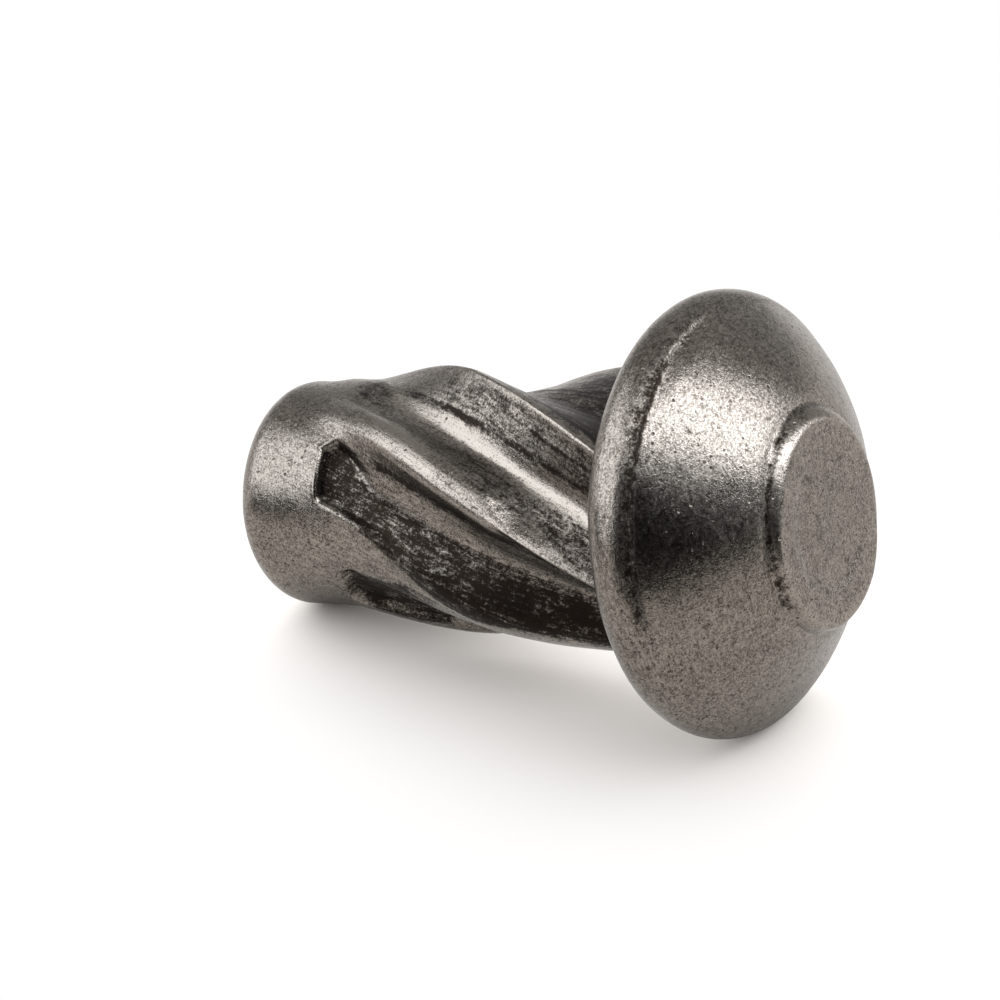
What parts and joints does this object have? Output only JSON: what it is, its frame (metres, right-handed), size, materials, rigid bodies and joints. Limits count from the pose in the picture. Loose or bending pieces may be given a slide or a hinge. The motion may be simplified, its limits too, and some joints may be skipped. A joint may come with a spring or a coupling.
{
  "type": "drive rivet",
  "caption": "Hammer-drive rivet with a domed head, a low button on top, steep right-hand flutes on the shank and a plain rounded pilot.",
  "frame": {"origin": "middle of the box's underside, on the surface the rivet lies on, with +Z up", "axes": "the rivet lies on its side on its rim and its pilot's end; +X runs along it towards the head, and its own axis leans 12.9 degrees up from +X in the XZ plane"},
  "size_m": [0.0044, 0.003, 0.003],
  "materials": {
    "steel": "plain dark steel, tumbled, with a fine even pitting and drawn scratches along the flutes"
  },
  "bodies": {
    "root": {"drive_rivet": "steel"}
  },
  "joints": []
}
